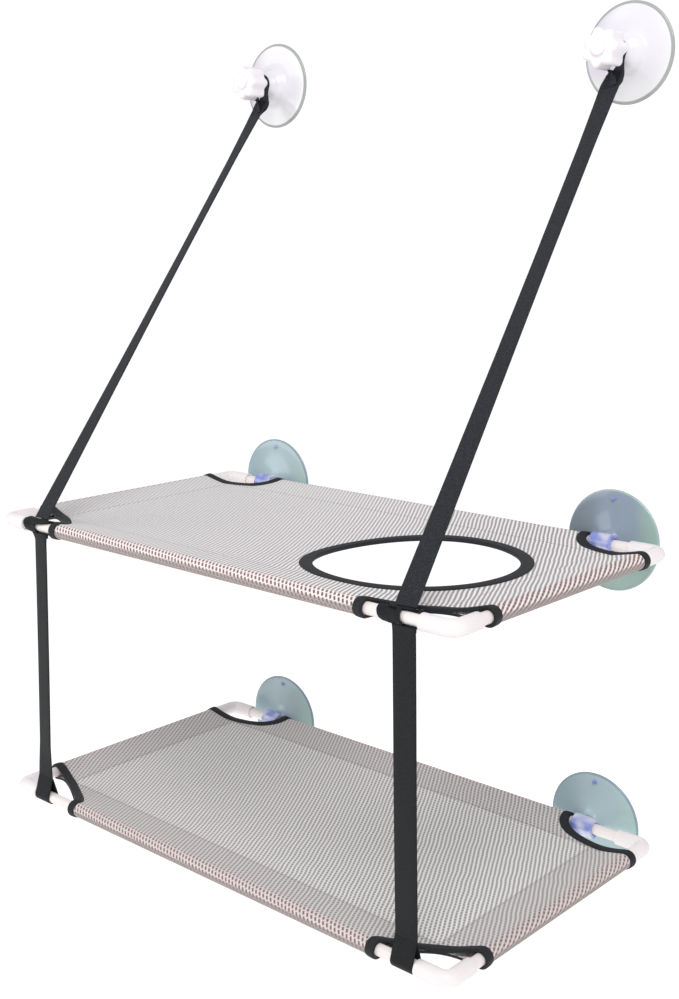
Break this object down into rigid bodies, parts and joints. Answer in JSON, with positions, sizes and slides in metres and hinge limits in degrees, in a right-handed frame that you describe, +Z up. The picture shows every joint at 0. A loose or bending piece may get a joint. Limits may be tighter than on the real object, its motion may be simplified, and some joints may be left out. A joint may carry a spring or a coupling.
{
  "type": "cat window hammock",
  "caption": "Window perch for a cat: mesh decks on tube frames, hung on a pane by suction cups and webbing straps, the upper deck with a round climbing hole.",
  "frame": {"origin": "on the window pane, midway between the left and right cups, level with the tube axes of the upper deck", "axes": "+X along the deck, to the right for someone in the room; +Y square into the pane; +Z up"},
  "size_m": [0.6182, 0.3591, 0.875],
  "materials": {
    "white_tube": "white powder coat on thin steel tube",
    "white_elbow": "moulded white plastic",
    "grey_mesh": "open knitted polyester mesh",
    "black_tape": "woven binding tape, stitched",
    "black_webbing": "woven polyester webbing",
    "clear_pvc": "clear soft vinyl with a faint blue-green tint",
    "white_knob": "moulded white plastic",
    "steel": "zinc plated"
  },
  "bodies": {
    "root": {"middle_left_suction_cup": "clear_pvc", "lower_left_suction_cup": "clear_pvc", "top_left_suction_cup": "clear_pvc", "left_screw": "steel", "left_slanted_strap": "black_webbing", "middle_right_suction_cup": "clear_pvc", "lower_right_suction_cup": "clear_pvc", "top_right_suction_cup": "clear_pvc", "right_screw": "steel", "right_slanted_strap": "black_webbing"},
    "upper_deck": {"upper_front_tube": "white_tube", "upper_back_tube": "white_tube", "upper_left_tube": "white_tube", "upper_right_tube": "white_tube", "upper_front_left_elbow": "white_elbow", "upper_front_right_elbow": "white_elbow", "upper_back_left_elbow": "white_elbow", "upper_back_right_elbow": "white_elbow", "upper_mesh_panel": "grey_mesh", "upper_front_left_binding": "black_tape", "upper_front_right_binding": "black_tape", "upper_back_left_binding": "black_tape", "upper_back_right_binding": "black_tape", "upper_hole_binding": "black_tape"},
    "lower_deck": {"lower_front_tube": "white_tube", "lower_back_tube": "white_tube", "lower_left_tube": "white_tube", "lower_right_tube": "white_tube", "lower_front_left_elbow": "white_elbow", "lower_front_right_elbow": "white_elbow", "lower_back_left_elbow": "white_elbow", "lower_back_right_elbow": "white_elbow", "lower_mesh_panel": "grey_mesh", "lower_front_left_binding": "black_tape", "lower_front_right_binding": "black_tape", "lower_back_left_binding": "black_tape", "lower_back_right_binding": "black_tape"},
    "left_strap": {"left_drop_strap": "black_webbing"},
    "left_insert": {"left_knob_insert": "steel"},
    "left_knob": {"left_knob": "white_knob"},
    "right_strap": {"right_drop_strap": "black_webbing"},
    "right_insert": {"right_knob_insert": "steel"},
    "right_knob": {"right_knob": "white_knob"}
  },
  "joints": [
    {"name": "upper_deck_fold", "type": "hinge", "parent": "root", "child": "upper_deck", "pos_m": [0, -0.02, 0], "axis": [-1, 0, 0], "range_deg": [0, 80], "deforming": ["left_slanted_strap", "right_slanted_strap"]},
    {"name": "lower_deck_fold", "type": "hinge", "parent": "root", "child": "lower_deck", "pos_m": [0, -0.02, -0.306], "axis": [-1, 0, 0], "range_deg": [0, 80]},
    {"name": "left_strap_swing", "type": "hinge", "parent": "upper_deck", "child": "left_strap", "pos_m": [-0.23725, -0.35, 0], "axis": [-1, 0, 0], "range_deg": [-80, 0]},
    {"name": "right_strap_swing", "type": "hinge", "parent": "upper_deck", "child": "right_strap", "pos_m": [0.254, -0.35, 0], "axis": [-1, 0, 0], "range_deg": [-80, 0]},
    {"name": "left_knob_travel", "type": "slide", "parent": "root", "child": "left_insert", "axis": [0, -1, 0], "range_m": [0, 0.0046]},
    {"name": "left_knob_turn", "type": "hinge", "parent": "left_insert", "child": "left_knob", "pos_m": [-0.232, -0.045, 0.47], "axis": [0, -1, 0], "range_deg": [0, 1080]},
    {"name": "right_knob_travel", "type": "slide", "parent": "root", "child": "right_insert", "axis": [0, -1, 0], "range_m": [0, 0.0046]},
    {"name": "right_knob_turn", "type": "hinge", "parent": "right_insert", "child": "right_knob", "pos_m": [0.232, -0.045, 0.47], "axis": [0, -1, 0], "range_deg": [0, 1080]}
  ],
  "couplings": [
    {"joint": "lower_deck_fold", "follows": "upper_deck_fold", "ratio": 1},
    {"joint": "left_strap_swing", "follows": "upper_deck_fold", "ratio": -1},
    {"joint": "right_strap_swing", "follows": "upper_deck_fold", "ratio": -1},
    {"joint": "left_knob_travel", "follows": "left_knob_turn", "m_per_rad": 0.00023873},
    {"joint": "right_knob_travel", "follows": "right_knob_turn", "m_per_rad": 0.00023873}
  ]
}
